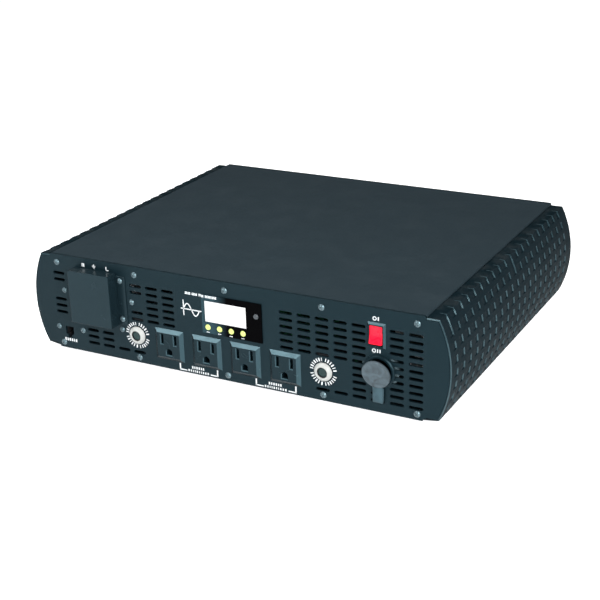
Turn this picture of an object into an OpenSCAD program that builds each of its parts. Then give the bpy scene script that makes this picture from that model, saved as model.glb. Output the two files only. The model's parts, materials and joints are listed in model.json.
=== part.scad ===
// Mains power inverter: a low, wide case with curved side covers, four earthed outlets, a rocker
// switch, an accessory socket and a small display on the front, and DC studs and fans at the rear.
// Millimetres, +Z up, front towards -Y. The origin is at the middle of the overall footprint,
// on the surface that the feet stand on. Front and rear places are given as X and as the
// height above the underside of the case.

/* [Case] */
// Overall width, across the bulge of the side covers
case_w = 390; // [388:0.5:396]
// Depth, from the face of the front panel to the face of the rear panel
case_d = 300; // [290:1:340]
// Height of the case above its own underside
case_h = 87; // [87:0.5:90]
// Width across the upper and lower edges, where the side covers start to bulge
edge_w = 370; // [368:0.5:372]
// Width of the flat top cover
cover_w = 348.6; // [346:0.2:350]
// Sheet thickness of the top cover and of the base
sheet_t = 1.8; // [1.2:0.1:2]
// Wall thickness of the side covers
side_t = 2.4; // [2:0.1:3]
// Thickness of the front and rear panels
panel_t = 2; // [1.5:0.1:2.2]
// Diameter of a rubber foot
foot_d = 18; // [12:1:24]
// Height of a rubber foot
foot_h = 3; // [2:0.5:4]

/* [Ventilation slots] */
// Length of a slot
slot_l = 12; // [10:0.5:13]
// Height of a slot
slot_h = 2.8; // [1.5:0.1:3]
// Distance between columns of slots
slot_pitch_x = 15.87; // [15:0.01:16]
// Distance between rows of slots
slot_pitch_z = 6.01; // [5.6:0.01:6.05]
// Distance from the middle of the panel to the first column
slot_first_x = 55.5; // [55:0.5:56]
// Height of the top row
slot_top_z = 69.75; // [69:0.25:70]

/* [Outlets] */
// Distance between neighbouring outlets
outlet_pitch = 36.6; // [34:0.1:38]
// Middle of the row of outlets
outlet_mid_x = -1; // [-2:0.5:1]
// Height of the middle of an outlet
outlet_z = 22; // [20:0.5:24]
// Side of the raised square round an outlet
outlet_boss = 28; // [26:0.5:30]
// How far the square stands out of the panel
outlet_out = 2.2; // [1:0.1:3]
// Distance between the two blade slots, the standard 12.7
blade_gap = 12.7; // [12.7]

/* [Switch and breakers] */
// Place of the power rocker across the panel
switch_x = 134.2; // [132:0.1:136]
// Height of the power rocker's middle
switch_z = 64.6; // [62:0.1:66]
// Height of the switch bezel
switch_h = 20.8; // [20:0.1:22]
// Width of the switch bezel
switch_w = 15.2; // [15:0.1:16]
// Angle that the rocker turns through from on to off
switch_throw = 17; // [12:1:18]
// Distance of each breaker from the middle of the panel
breaker_x = 88; // [86:0.5:90]
// Height of the breakers
breaker_z = 25.3; // [24:0.1:27]
// How far a tripped breaker button stands out
breaker_travel = 4; // [3:0.5:5]

/* [Accessory socket] */
// Place of the socket across the panel
socket_x = 135.9; // [135:0.1:137]
// Height of the socket
socket_z = 34.8; // [34:0.1:37]
// Bore of the socket, the standard 21
socket_bore = 21; // [21]
// Length of the socket's straight bore
socket_l = 30; // [26:1:34]
// Diameter of the socket's flange
socket_flange = 27; // [26.5:0.5:28]
// How far the socket's cap stands open
cap_angle = 10; // [0:1:20]

/* [Rear] */
// Distance of each fan from the middle of the panel
fan_x = 112; // [104:1:118]
// Side of a fan frame
fan_w = 70; // [70]
// Depth of a fan
fan_t = 25; // [20:1:25]
// Distance of each DC terminal from the middle of the panel
terminal_x = 30; // [28:1:40]
// Diameter of a DC stud
stud_d = 8; // [6:1:10]

/* [Hidden] */
$fn = 64;

paint = [0.15, 0.21, 0.24];
board_green = [0.05, 0.27, 0.14];
black_plastic = [0.05, 0.05, 0.06];

// How far pieces stand out of the front and rear panels
front_out = 11;
rear_out = 28;
y_front = -(case_d + rear_out - front_out) / 2;
y_rear = y_front + case_d;
z_case = foot_h;

// Section of the case: the shoulders of the side covers lie under the top cover
shoulder_z = case_h - sheet_t;
low_edge_z = 2;
bend_r = 1.5;
bulge = (case_w - edge_w) / 2;
half_chord = (shoulder_z - low_edge_z) / 2;
bulge_r = (half_chord * half_chord + bulge * bulge) / (2 * bulge);
bulge_x = case_w / 2 - bulge_r;
bulge_z = low_edge_z + half_chord;
flange_x = 170.5;
tray_wall_x = 162;
base_w = 344;
rim = 1.2;
gap = 0.1;

outlet_x = [for (i = [-1.5:1:1.5]) outlet_mid_x + i * outlet_pitch];
edge_screw_x = [-167.6, -87.5, 0, 87.5, 167.6];
edge_screw_top = 79.7;
edge_screw_low = 5;
rear_screw_x = [-167.6, -66, 0, 66, 167.6];

// Rows of slots that are cut in each column, counted from the top, columns from the middle out
slots_left = [[1:6], [1:6], [1, 2, 5, 6, 11], [11], [9:11], [9:11], [], [1, 2, 5, 6, 7]];
slots_right = [[1:6], [1:6], [1, 2, 3, 4, 5, 6, 11], [1, 2, 3, 4, 5, 6, 11], [1:11], [10, 11],
    [1:11], [1:11]];

// Screw cover of the hard-wire terminals
cover_x = -127.5;
cover_z = 54.8;
tcover_w = 42;
tcover_h = 47;
tcover_out = 11;
tcover_wall = 0.8;
tcover_flange = 9.5;

// Small screws: X, height and how far the head stands out
small_screw_at = [[-162.1, 54.5, 0], [-91.9, 54.6, 0], [-102, 72.4, tcover_wall],
    [-101.8, 38, tcover_wall], [-103.6, 28, 0], [-171.6, 19.4, 0], [-145.8, 19.5, 0]];

jack_x = -160.5;
jack_z = 16;
jack_w = 8;
jack_h = 7.2;

display_w = 56;
display_h = 33.6;
display_x = 6.1;
display_z = 56.6;
display_t = 0.9;
lcd_w = 39.4;
lcd_h = 18.8;
lcd_x = 0.6;
lcd_z = 59.3;
lamp_x = [for (i = [0:3]) -16.6 + 10.97 * i];
lamp_z = 45.2;
lamp_d = 5;
button_x = 29.2;
button_z = 62.3;
button_d = 4.4;

rocker_w = 10.6;
rocker_half = 7.3;
rocker_pivot = 2.2;
switch_window_w = 11.1;
switch_window_h = 16.2;
switch_body_w = 13;
switch_body_h = 19;
switch_out = 1.8;
pin_r = 1.2;

nut_r = 7.8;
nut_out = 3.2;
breaker_hole_r = 4.4;
breaker_button_r = 4;

flange_t = 1.8;
mouth_r = 11.2;
mouth_z = 0.2;
socket_end = mouth_z - socket_l - 7;
cap_r = 11.8;
cap_t = 2.4;
cap_gap = 0.3;
plug_r = 9.6;
plug_l = 1.6;
hinge_out = 2.2;
hinge_z = 21.9;
strap_w = 8.4;
strap_t = 1.4;
strap_z = 9.2;

board_z = 9;
board_t = 1.6;
board_top = z_case + sheet_t + board_z + board_t;
board_y0 = y_front + 48;
board_y1 = y_rear - 34;
sink_x = 128;

transformer_at = [for (i = [-1.5:1:1.5]) [i * 50, 34]];

fan_z = 43.5;
fan_hole = 30.5;
terminal_z = 48;
terminal_out = 10;
stud_out = rear_out;
ground_z = 16;

// Places things on the panels: local X runs along the case, local Y up, local Z out of the panel
module on_front(x, z, out = 0) { translate([x, y_front - out, z_case + z]) rotate([90, 0, 0]) children(); }
module on_rear(x, z, out = 0) { translate([x, y_rear + out, z_case + z]) rotate([90, 0, 180]) children(); }

// Extrudes an X-Z outline from y0 to y1
module along_y(y0, y1) { translate([0, y1, z_case]) rotate([90, 0, 0]) linear_extrude(y1 - y0) children(); }

module rect(w, h) { square([w, h], center = true); }

module trapezoid(base, top, t) {
    polygon([[-base / 2, 0], [base / 2, 0], [top / 2, t], [-top / 2, t]]);
}

// Plate that narrows towards its face on all four sides
module bevelled_plate(w, h, t, bevel) {
    intersection() {
        rotate([90, 0, 0]) linear_extrude(h, center = true) trapezoid(w, w - 2 * bevel, t);
        rotate([90, 0, 90]) linear_extrude(w, center = true) trapezoid(h, h - 2 * bevel, t);
    }
}

// Pan-head screw with a cross recess, head on the face at z = 0
module pan_screw(head_d, head_h, shank_d, shank_l) {
    r = head_d / 2;
    difference() {
        union() {
            rotate_extrude() polygon([[0, 0], [r, 0], [r, head_h * 0.18], [r * 0.7, head_h * 0.18 + r * 0.3],
                [r * 0.4, head_h * 0.91], [0, head_h]]);
            translate([0, 0, -shank_l]) cylinder(h = shank_l, d = shank_d);
        }
        for (a = [45, 135]) rotate([0, 0, a])
            translate([-r * 0.55, -r * 0.11, head_h * 0.45]) cube([r * 1.1, r * 0.22, head_h]);
    }
}

module hex_nut(across, t, hole_d) {
    difference() {
        cylinder(h = t, r = across / sqrt(3), $fn = 6);
        translate([0, 0, -1]) cylinder(h = t + 2, d = hole_d, $fn = 64);
    }
}

// Section of the bulging side, drawn in from the outer face by an inset
module bulge_segment(inset) {
    intersection() {
        translate([bulge_x, bulge_z]) circle(bulge_r - inset, $fn = 180);
        translate([edge_w / 2 - inset - 1, low_edge_z + inset]) square([bulge + 2, 2 * (half_chord - inset)]);
    }
}

module side_outer() {
    polygon([[flange_x, shoulder_z], [edge_w / 2, shoulder_z], [edge_w / 2, low_edge_z],
        [base_w / 2 + 0.3, 0.4], [base_w / 2 + 0.3, sheet_t], [flange_x, sheet_t]]);
    bulge_segment(0);
}

module side_inner(inset) {
    polygon([[flange_x - 1, shoulder_z - inset], [edge_w / 2 - inset, shoulder_z - inset],
        [edge_w / 2 - inset, low_edge_z + inset], [base_w / 2 + 0.3, sheet_t + inset],
        [flange_x - 1, sheet_t + inset]]);
    bulge_segment(inset);
}

module both_sides() { children(); mirror([1, 0]) children(); }

// Folded sheet seen end on: a strip from z0 to z1 with its two upper corners bent round
module cover_section(z0, z1) {
    polygon([[-cover_w / 2, z0], [cover_w / 2, z0],
        for (a = [0:15:90]) [cover_w / 2 - bend_r * (1 - cos(a)), z1 - bend_r * (1 - sin(a))],
        for (a = [90:-15:0]) [-cover_w / 2 + bend_r * (1 - cos(a)), z1 - bend_r * (1 - sin(a))]]);
}

// Outline of the front and rear panels, which sit inside the rims of the side covers
module panel_outline() {
    cover_section(sheet_t + gap, case_h);
    both_sides() {
        intersection() {
            side_inner(rim + gap);
            translate([flange_x, 0]) square([bulge + 40, case_h]);
        }
    }
}

module side_cover() {
    color(paint) {
        along_y(y_front + panel_t + gap, y_rear - panel_t - gap)
            difference() { side_outer(); side_inner(side_t); }
        for (y = [y_front + 0.5, y_rear - panel_t - gap])
            along_y(y, y + panel_t - 0.5 + gap) difference() {
                intersection() { side_outer(); translate([cover_w / 2 + gap, 0]) square([60, case_h]); }
                side_inner(rim);
            }
    }
}

module side_cover_right() { side_cover(); }
module side_cover_left() { mirror([1, 0, 0]) side_cover(); }

module top_cover() {
    inset = panel_t + gap;
    color([0.2, 0.26, 0.28]) along_y(y_front + inset, y_rear - inset) cover_section(shoulder_z, case_h);
}

module base_tray() {
    wall_h = 6;
    color(paint) {
        translate([-base_w / 2, y_front, z_case]) cube([base_w, case_d, sheet_t]);
        for (s = [-1, 1]) translate([s * tray_wall_x - 0.8, y_front + 6, z_case + sheet_t])
            cube([1.6, case_d - 12, wall_h]);
    }
}

module feet() {
    color([0.04, 0.04, 0.04]) for (x = [-1, 1], y = [-1, 1])
        translate([x * 140, (y_front + y_rear) / 2 + y * (case_d / 2 - 34), 0])
            cylinder(h = foot_h, d1 = foot_d - 2, d2 = foot_d);
}

// Slots with rounded ends, in columns and rows
module slot() {
    r = slot_h / 2;
    polygon([for (e = [1, -1]) for (a = [-90:30:90]) [e * (slot_l / 2 - r + r * cos(a)), e * r * sin(a)]]);
}

module slot_field(columns, side) {
    for (k = [0:len(columns) - 1]) for (row = columns[k])
        translate([side * (slot_first_x + k * slot_pitch_x), slot_top_z - (row - 1) * slot_pitch_z]) slot();
}

module front_panel() {
    color(paint) along_y(y_front, y_front + panel_t) difference() {
        panel_outline();
        slot_field(slots_left, -1);
        slot_field(slots_right, 1);
        for (x = outlet_x) translate([x, outlet_z]) rect(24.4, 24.4);
        for (s = [-1, 1]) translate([s * breaker_x, breaker_z]) circle(5.6);
        translate([switch_x, switch_z]) rect(switch_body_w + 0.2, switch_body_h + 0.2);
        translate([socket_x, socket_z]) circle(12.7);
        translate([jack_x, jack_z]) jack_mouth(0.4);
        translate([cover_x, cover_z]) rect(34, 34);
        translate([lcd_x, lcd_z]) rect(lcd_w + 0.4, lcd_h + 0.4);
        for (x = lamp_x) translate([x, lamp_z]) circle(d = lamp_d + 0.3);
        translate([button_x, button_z]) circle(d = button_d + 0.8);
        for (x = edge_screw_x, z = [edge_screw_top, edge_screw_low]) translate([x, z]) circle(d = 3.2);
        for (p = small_screw_at) translate([p[0], p[1]]) circle(d = 2.6);
    }
}

// Punched ring grille in front of a fan
module fan_grille() {
    for (r = [11.5:6.4:31]) difference() {
        circle(r + 4.2);
        circle(r);
        for (a = [0:45:135]) rotate(a) rect(fan_w, 3);
    }
}

module rear_panel() {
    color(paint) along_y(y_rear - panel_t, y_rear) difference() {
        panel_outline();
        for (s = [-1, 1]) translate([s * fan_x, fan_z]) {
            fan_grille();
            for (x = [-1, 1], z = [-1, 1]) translate([x, z] * fan_hole) circle(d = 4.2);
        }
        for (s = [-1, 1]) translate([s * terminal_x, terminal_z]) circle(d = 16.4);
        translate([0, ground_z]) circle(d = 6.2);
        for (x = rear_screw_x, z = [edge_screw_top, edge_screw_low]) translate([x, z]) circle(d = 3.2);
    }
}

module panel_screws() {
    color("silver") {
        for (x = edge_screw_x, z = [edge_screw_top, edge_screw_low])
            on_front(x, z) pan_screw(5.4, 1.7, 3, 8);
        for (x = rear_screw_x, z = [edge_screw_top, edge_screw_low])
            on_rear(x, z) pan_screw(5.4, 1.7, 3, 8);
    }
}

module small_screws() {
    color("silver") for (p = small_screw_at) on_front(p[0], p[1], p[2]) pan_screw(5, 1.6, 2.4, 7 + p[2]);
}

// Folded sheet box over the hard-wire terminals, with a screwed flange along its right side
module terminal_cover() {
    flange_h = tcover_h - 4;
    color(paint) on_front(cover_x, cover_z) difference() {
        union() {
            translate([-tcover_w / 2, -tcover_h / 2, 0]) cube([tcover_w, tcover_h, tcover_out]);
            translate([tcover_w / 2 - 1, -flange_h / 2, 0]) cube([tcover_flange + 1, flange_h, tcover_wall]);
        }
        translate([0, 0, tcover_out / 2 - tcover_wall])
            cube([tcover_w - 2 * tcover_wall, tcover_h - 2 * tcover_wall, tcover_out], center = true);
        for (p = small_screw_at)
            translate([p[0] - cover_x, p[1] - cover_z, -1]) cylinder(h = 4, d = 2.6);
    }
}

module ac_terminal_block() {
    pole = 10.6;
    color([0.08, 0.08, 0.09]) on_front(cover_x, cover_z) difference() {
        translate([0, 0, -8]) cube([33, 26, 30], center = true);
        for (i = [-1:1]) translate([i * pole, 0, 0]) {
            translate([0, 4, 4]) cube([8.6, 10, 12], center = true);
            translate([0, -13, -3]) rotate([-90, 0, 0]) cylinder(h = 13, d = 6);
        }
    }
}

module terminal_clamps() {
    color("goldenrod") for (i = [-1:1]) on_front(cover_x + i * 10.6, cover_z + 4, -1.9) difference() {
        cylinder(h = 5, d = 6.4);
        translate([-4, -0.5, 3.8]) cube([8, 1, 2]);
    }
}

// Opening of the modular jack: a wide part for the plug and a notch below it for the latch
module jack_mouth(play) {
    translate([0, 0.8]) rect(jack_w + play, jack_h + play);
    translate([0, -4]) rect(4 + play, 3.8 + play);
}

module remote_jack() {
    jack_l = 15;
    jack_depth = 10;
    color(black_plastic) on_front(jack_x, jack_z, -panel_t - gap) difference() {
        translate([0, 0, -jack_l / 2]) cube([16, 14.4, jack_l], center = true);
        translate([0, 0, -jack_depth]) linear_extrude(jack_depth + 1) jack_mouth(0);
    }
}

module jack_contacts() {
    color("gold") for (i = [-2:2]) on_front(jack_x + i * 1.2, jack_z + 3.2, -9)
        rotate([-10, 0, 0]) cube([0.45, 0.45, 5], center = true);
}

// Rectangular slot with a bevelled mouth, cut from the face at z = 0
module blade_slot(w, h, depth, lead) {
    translate([0, 0, -depth / 2 + 1]) cube([w, h, depth + 2], center = true);
    translate([0, 0, 0.1]) rotate([180, 0, 0])
        bevelled_plate(w + 2 * lead + 0.2, h + 2 * lead + 0.2, lead + 0.1, lead + 0.1);
}

// Earthed outlet: raised bevelled square, two blade slots and an arched earth hole
module outlet(x) {
    blade_z = 5;
    earth_z = -6.1;
    earth_d = 5.2;
    cavity = 9;
    lead = 0.7;
    color(paint) on_front(x, outlet_z) difference() {
        union() {
            bevelled_plate(outlet_boss, outlet_boss, outlet_out, 3.1);
            translate([0, 0, -12]) cube([24, 24, 24.02], center = true);
        }
        translate([0, 0, outlet_out]) {
            for (s = [-1, 1]) translate([s * blade_gap / 2, blade_z, 0]) {
                blade_slot(2.2, 8.2, cavity, lead);
                translate([0, 0, -12]) cube([5, 9.4, cavity], center = true);
            }
            translate([0, earth_z, 0]) {
                translate([0, 0, -19]) cylinder(h = 20, d = earth_d);
                translate([0, 0, -lead])
                    cylinder(h = lead + 0.1, d1 = earth_d, d2 = earth_d + 2 * lead + 0.2);
                translate([0, -earth_d / 4, 0]) blade_slot(earth_d, earth_d / 2, 19, lead);
            }
        }
    }
}

module outlet_1() { outlet(outlet_x[0]); }
module outlet_2() { outlet(outlet_x[1]); }
module outlet_3() { outlet(outlet_x[2]); }
module outlet_4() { outlet(outlet_x[3]); }

module outlet_contacts() {
    color("gold") for (x = outlet_x, s = [-1, 1])
        on_front(x + s * blade_gap / 2, outlet_z + 5, outlet_out - 12) difference() {
            cube([4.2, 8, 7.6], center = true);
            translate([0, 0, 1]) cube([1.4, 9, 7.8], center = true);
        }
}

// Push-to-reset thermal breaker
module breaker(x) {
    color(black_plastic) on_front(x, breaker_z) difference() {
        union() {
            translate([0, 0, -panel_t - 17]) cube([14, 28, 33.8], center = true);
            translate([0, 0, -panel_t - 0.2]) cylinder(h = panel_t + 2.2, r = 5.5);
        }
        translate([0, 0, -12 - breaker_travel]) cylinder(h = 24, r = breaker_hole_r);
    }
    color("silver") for (z = [-7, 7])
        on_front(x, breaker_z + z, -panel_t - 38) cube([6.3, 0.8, 8], center = true);
}

module breaker_left() { breaker(-breaker_x); }
module breaker_right() { breaker(breaker_x); }

module breaker_nut(x) {
    color("white") on_front(x, breaker_z) rotate_extrude() polygon([[5.6, 0], [nut_r, 0],
        [nut_r, 1.1], [nut_r - 0.5, 1.5], [5.4, nut_out], [4.5, nut_out], [4.5, 2.2], [5.6, 2.2]]);
}

module breaker_nut_left() { breaker_nut(-breaker_x); }
module breaker_nut_right() { breaker_nut(breaker_x); }

module breaker_button(x) {
    color([0.1, 0.13, 0.13]) on_front(x, breaker_z, 1.6) rotate_extrude()
        polygon([[0, -16], [breaker_button_r, -16], [breaker_button_r, -0.5],
            [breaker_button_r - 0.5, 0], [0, 0]]);
}

module breaker_button_left() { breaker_button(-breaker_x); }
module breaker_button_right() { breaker_button(breaker_x); }

module switch_housing() {
    color(paint) on_front(switch_x, switch_z) difference() {
        union() {
            bevelled_plate(switch_w, switch_h, switch_out, 1.4);
            translate([0, 0, -10]) cube([switch_body_w, switch_body_h, 20.02], center = true);
            for (y = [-6, 0, 6]) translate([0, y, -23.5]) cube([6.3, 0.8, 8], center = true);
        }
        translate([0, 0, -5]) cube([switch_window_w, switch_window_h, 20], center = true);
        translate([0, 0, -rocker_pivot]) rotate([0, 90, 0]) cylinder(h = 40, r = pin_r + 0.05, center = true);
    }
}

// Rocker shown with its upper end pressed in
module switch_rocker() {
    color([0.85, 0.08, 0.12]) translate([switch_x, y_front + rocker_pivot, z_case + switch_z]) {
        rotate([-switch_throw / 2, 0, 0]) rotate([90, 0, 90]) linear_extrude(rocker_w, center = true)
            polygon([[-4.8, -rocker_half], [-3.8, 0], [-4.8, rocker_half], [-1, rocker_half],
                [2.5, 4], [2.5, -4], [-1, -rocker_half]]);
        rotate([0, 90, 0]) cylinder(h = switch_body_w - 0.3, r = pin_r, center = true);
    }
}

// Accessory socket: flange with a recessed mouth for the cap, threaded barrel and insulated end
module socket_shell() {
    outer = 12.5;
    edge = 0.8;
    color([0.16, 0.19, 0.2]) on_front(socket_x, socket_z) rotate_extrude()
        polygon([[mouth_r, flange_t], [socket_flange / 2 - edge, flange_t],
            [socket_flange / 2, flange_t - edge], [socket_flange / 2, 0], [outer, 0],
            [outer, socket_end - 3], [3.2, socket_end - 3], [3.2, socket_end],
            [socket_bore / 2 - 1, socket_end], [socket_bore / 2 - 1, mouth_z - socket_l],
            [socket_bore / 2, mouth_z - socket_l], [socket_bore / 2, mouth_z], [mouth_r, mouth_z]]);
}

module socket_clamp() {
    color("silver") on_front(socket_x, socket_z, -panel_t - 4) difference() {
        cylinder(h = 4, r = 15.5);
        translate([0, 0, -1]) cylinder(h = 6, r = 12.6);
    }
}

module socket_contact() {
    color("gold") on_front(socket_x, socket_z, socket_end - 7) {
        cylinder(h = 11, r = 3.1);
        translate([0, 0, 11]) cylinder(h = 2, r1 = 3.1, r2 = 2);
    }
}

// Turns the socket's cap about its strap, outwards from the closed place
module swung_cap(angle) {
    at = [socket_x, y_front - hinge_out, z_case + hinge_z];
    translate(at) rotate([angle, 0, 0]) translate(-at) children();
}

// Rubber cap with a shallow plug, standing a little open
module socket_cap() {
    back = flange_t + cap_gap;
    edge = 0.8;
    color([0.38, 0.43, 0.46]) swung_cap(cap_angle) on_front(socket_x, socket_z) rotate_extrude()
        polygon([[0, back - plug_l], [plug_r - edge / 2, back - plug_l], [plug_r, back - plug_l + edge / 2],
            [plug_r, back], [cap_r, back], [cap_r, back + cap_t - edge], [cap_r - edge, back + cap_t],
            [0, back + cap_t]]);
}

// Strap of the cap: from under the socket's flange down the panel, folded back up in front of itself
module cap_strap() {
    fold = 0.4;
    low_run = socket_z - socket_flange / 2 - 0.2 - strap_z;
    high_run = hinge_z - 3.2 - strap_z;
    color([0.34, 0.39, 0.42]) translate([socket_x - strap_w / 2, 0, z_case + strap_z]) {
        translate([0, y_front - gap - strap_t, 0]) cube([strap_w, strap_t, low_run]);
        translate([0, y_front - gap - 2 * strap_t - fold, 0]) cube([strap_w, strap_t, high_run]);
        translate([0, y_front - gap - 2 * strap_t - fold, 0]) cube([strap_w, 2 * strap_t + fold, strap_t]);
    }
}

module display_window() {
    color([0.02, 0.03, 0.03]) on_front(0, 0) linear_extrude(display_t) difference() {
        translate([display_x, display_z]) rect(display_w, display_h);
        translate([lcd_x, lcd_z]) rect(lcd_w, lcd_h);
        for (x = lamp_x) translate([x, lamp_z]) circle(d = lamp_d + 0.2);
        translate([button_x, button_z]) circle(d = button_d + 0.7);
    }
}

module lcd_module() {
    color("white") on_front(lcd_x, lcd_z) {
        translate([0, 0, -2.4]) cube([lcd_w - 0.1, lcd_h - 0.1, 6], center = true);
        translate([0, 0, -5.8]) cube([lcd_w + 6, lcd_h - 0.1, 3], center = true);
    }
}

module status_lamps() {
    color([0.85, 0.95, 0.4]) for (x = lamp_x) on_front(x, lamp_z) {
        translate([0, 0, -7.4]) cylinder(h = 8, d = lamp_d);
        translate([0, 0, 0.6]) cylinder(h = 0.6, d1 = lamp_d, d2 = lamp_d - 1.2);
    }
}

module display_button() {
    color([0.3, 0.31, 0.32]) on_front(button_x, button_z) rotate_extrude() polygon([[0, -6.4],
        [button_d / 2, -6.4], [button_d / 2, 1.5], [button_d / 2 - 0.5, 2.1], [0, 2.3]]);
}

module display_board() {
    color(board_green) on_front(display_x + 2, display_z, -9.2) {
        cube([66, 34, 1.6], center = true);
        for (x = [-22:11:22]) translate([x, -6, -1.6]) cube([6, 4, 1.6], center = true);
        translate([button_x - display_x - 2, button_z - display_z, 1.4]) cube([6, 6, 1.2], center = true);
    }
}

module main_board() {
    color(board_green) translate([-118, board_y0, z_case + sheet_t + board_z])
        cube([236, board_y1 - board_y0, board_t]);
}

module board_standoffs() {
    color("silver") for (x = [-110, 0, 110], y = [board_y0 + 8, board_y1 - 8])
        translate([x, y, z_case + sheet_t]) cylinder(h = board_z, r = 3, $fn = 6);
}

// Four ferrite cores with their windings, in a row across the board
module transformer_cores() {
    color([0.2, 0.2, 0.21]) for (p = transformer_at) translate([p[0], p[1], board_top]) difference() {
        translate([0, 0, 17]) cube([38, 16, 34], center = true);
        for (s = [-1, 1]) translate([s * 10.5, 0, 17]) cube([9, 17, 22], center = true);
    }
}

module transformer_windings() {
    color([0.8, 0.55, 0.15]) for (p = transformer_at) translate([p[0], p[1], board_top + 17]) difference() {
        cube([29, 29, 21], center = true);
        cube([12.2, 17, 22], center = true);
        for (s = [-1, 1]) translate([s * 20, 0, 0]) cube([10.2, 17, 22], center = true);
    }
}

module can(d, h) {
    rotate_extrude() polygon([[0, 0], [d / 2, 0], [d / 2, 2], [d / 2 - 0.6, 2.8], [d / 2, 3.6],
        [d / 2, h - 0.8], [d / 2 - 0.8, h], [0, h]]);
}

module input_capacitors() {
    color([0.1, 0.12, 0.3]) for (i = [-3.5:1:3.5]) translate([i * 22, 61, board_top]) can(16, 30);
}

module bus_capacitors() {
    color([0.1, 0.1, 0.12]) for (x = [-45, -15, 15, 45]) translate([x, -8, board_top]) can(25, 45);
}

module output_choke() {
    color([0.75, 0.5, 0.15]) translate([-70, -60, board_top + 10])
        rotate_extrude() translate([16, 0]) circle(9.5, $fn = 32);
}

// Extruded sink: a back plate with fins towards the side cover
module heatsink(side) {
    color([0.75, 0.76, 0.78]) along_y(board_y0 + 6, board_y1 - 6) {
        translate([side * sink_x, 45]) rect(5, 58);
        for (i = [-3:3]) translate([side * (sink_x + 12), 45 + i * 9]) rect(20, 2.4);
    }
}

module heatsink_left() { heatsink(-1); }
module heatsink_right() { heatsink(1); }

module power_transistors() {
    color(black_plastic) for (s = [-1, 1], i = [0:8])
        translate([s * (sink_x - 5), board_y0 + 22 + i * 20, board_top + 21])
            cube([4.8, 15.6, 20], center = true);
}

module control_board() {
    color([0.06, 0.3, 0.16]) translate([0, -38, board_top + 20]) {
        cube([90, 1.6, 40], center = true);
        for (x = [-30:20:30]) translate([x, -1.8, 4]) cube([10, 2, 8], center = true);
    }
}

module fuse_bank() {
    color([0.9, 0.75, 0.1]) for (i = [-2.5:1:2.5]) translate([i * 12, 84, board_top + 9])
        cube([5, 19, 18], center = true);
}

module bus_bars() {
    color([0.75, 0.45, 0.2]) for (s = [-1, 1]) {
        translate([s * terminal_x - 8, board_y1 - 10, board_top]) cube([16, 8, 3]);
        translate([s * terminal_x - 8, board_y1 - 4, board_top]) cube([16, 3, z_case + 58 - board_top]);
        translate([s * terminal_x - 8, board_y1 - 4, z_case + terminal_z - 3])
            cube([16, y_rear - panel_t - 7 - board_y1, 3]);
    }
}

// Fan housing with a hub plate and four struts at its inner end, hub bore for the rotor's shaft
module fan_frame(side) {
    color(black_plastic) on_rear(side * fan_x, fan_z, -panel_t - fan_t) difference() {
        union() {
            difference() {
                translate([-fan_w / 2, -fan_w / 2, 0]) cube([fan_w, fan_w, fan_t]);
                translate([0, 0, -1]) cylinder(h = fan_t + 2, r = 33);
            }
            cylinder(h = 3.5, r = 15);
            for (a = [45:90:315]) rotate([0, 0, a]) translate([12, -2, 0]) cube([23, 4, 3.5]);
        }
        translate([0, 0, 1]) cylinder(h = 10, r = 1.55);
        for (x = [-1, 1], y = [-1, 1]) translate([x * fan_hole, y * fan_hole, -1])
            cylinder(h = fan_t + 2, d = 4.2);
    }
}

module fan_frame_left() { fan_frame(-1); }
module fan_frame_right() { fan_frame(1); }

// Hub with seven pitched blades and a shaft
module fan_rotor(side) {
    blade_n = 7;
    hub_r = 14;
    tip_r = 31.8;
    color([0.07, 0.07, 0.08]) on_rear(side * fan_x, fan_z, -panel_t - fan_t) {
        translate([0, 0, 4]) cylinder(h = 17, r = hub_r);
        translate([0, 0, 1.4]) cylinder(h = 4, r = 1.5);
        intersection() {
            translate([0, 0, 5]) difference() {
                cylinder(h = 15, r = tip_r);
                translate([0, 0, -1]) cylinder(h = 17, r = hub_r - 1);
            }
            for (i = [0:blade_n - 1]) rotate([0, 0, i * 360 / blade_n]) translate([hub_r - 1, 0, 12])
                rotate([38, 0, 0]) translate([0, -10, -0.7]) cube([tip_r, 20, 1.4]);
        }
    }
}

module fan_rotor_left() { fan_rotor(-1); }
module fan_rotor_right() { fan_rotor(1); }

module fan_screws() {
    color("silver") for (s = [-1, 1], x = [-1, 1], z = [-1, 1])
        on_rear(s * fan_x + x * fan_hole, fan_z + z * fan_hole) pan_screw(7, 2, 4, 12);
}

// Insulating base of a DC stud: stepped collar outside, spigot through the panel
module terminal_base(side) {
    bore_r = stud_d / 2 + 0.1;
    on_rear(side * terminal_x, terminal_z) rotate_extrude() polygon([[bore_r, -6], [8, -6], [8, 0],
        [17, 0], [17, 3.5], [14.5, 4.5], [14.5, terminal_out], [bore_r, terminal_out]]);
}

module terminal_positive() { color([0.75, 0.05, 0.05]) terminal_base(1); }
module terminal_negative() { color([0.04, 0.04, 0.05]) terminal_base(-1); }

module terminal_studs() {
    color("goldenrod") for (s = [-1, 1]) on_rear(s * terminal_x, terminal_z) {
        translate([0, 0, -12]) cylinder(h = 12 + stud_out, d = stud_d);
        translate([0, 0, terminal_out]) difference() {
            cylinder(h = 1.6, d = 20);
            translate([0, 0, -1]) cylinder(h = 4, d = stud_d - 0.2);
        }
        translate([0, 0, terminal_out + 1.6]) hex_nut(13, 5.4, stud_d - 0.2);
    }
}

module ground_stud() {
    color("silver") on_rear(0, ground_z) {
        translate([0, 0, -8]) cylinder(h = 24, d = 6);
        hex_nut(10, 5, 5.8);
        translate([0, 0, -panel_t - 5]) hex_nut(10, 5, 5.8);
    }
}

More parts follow.
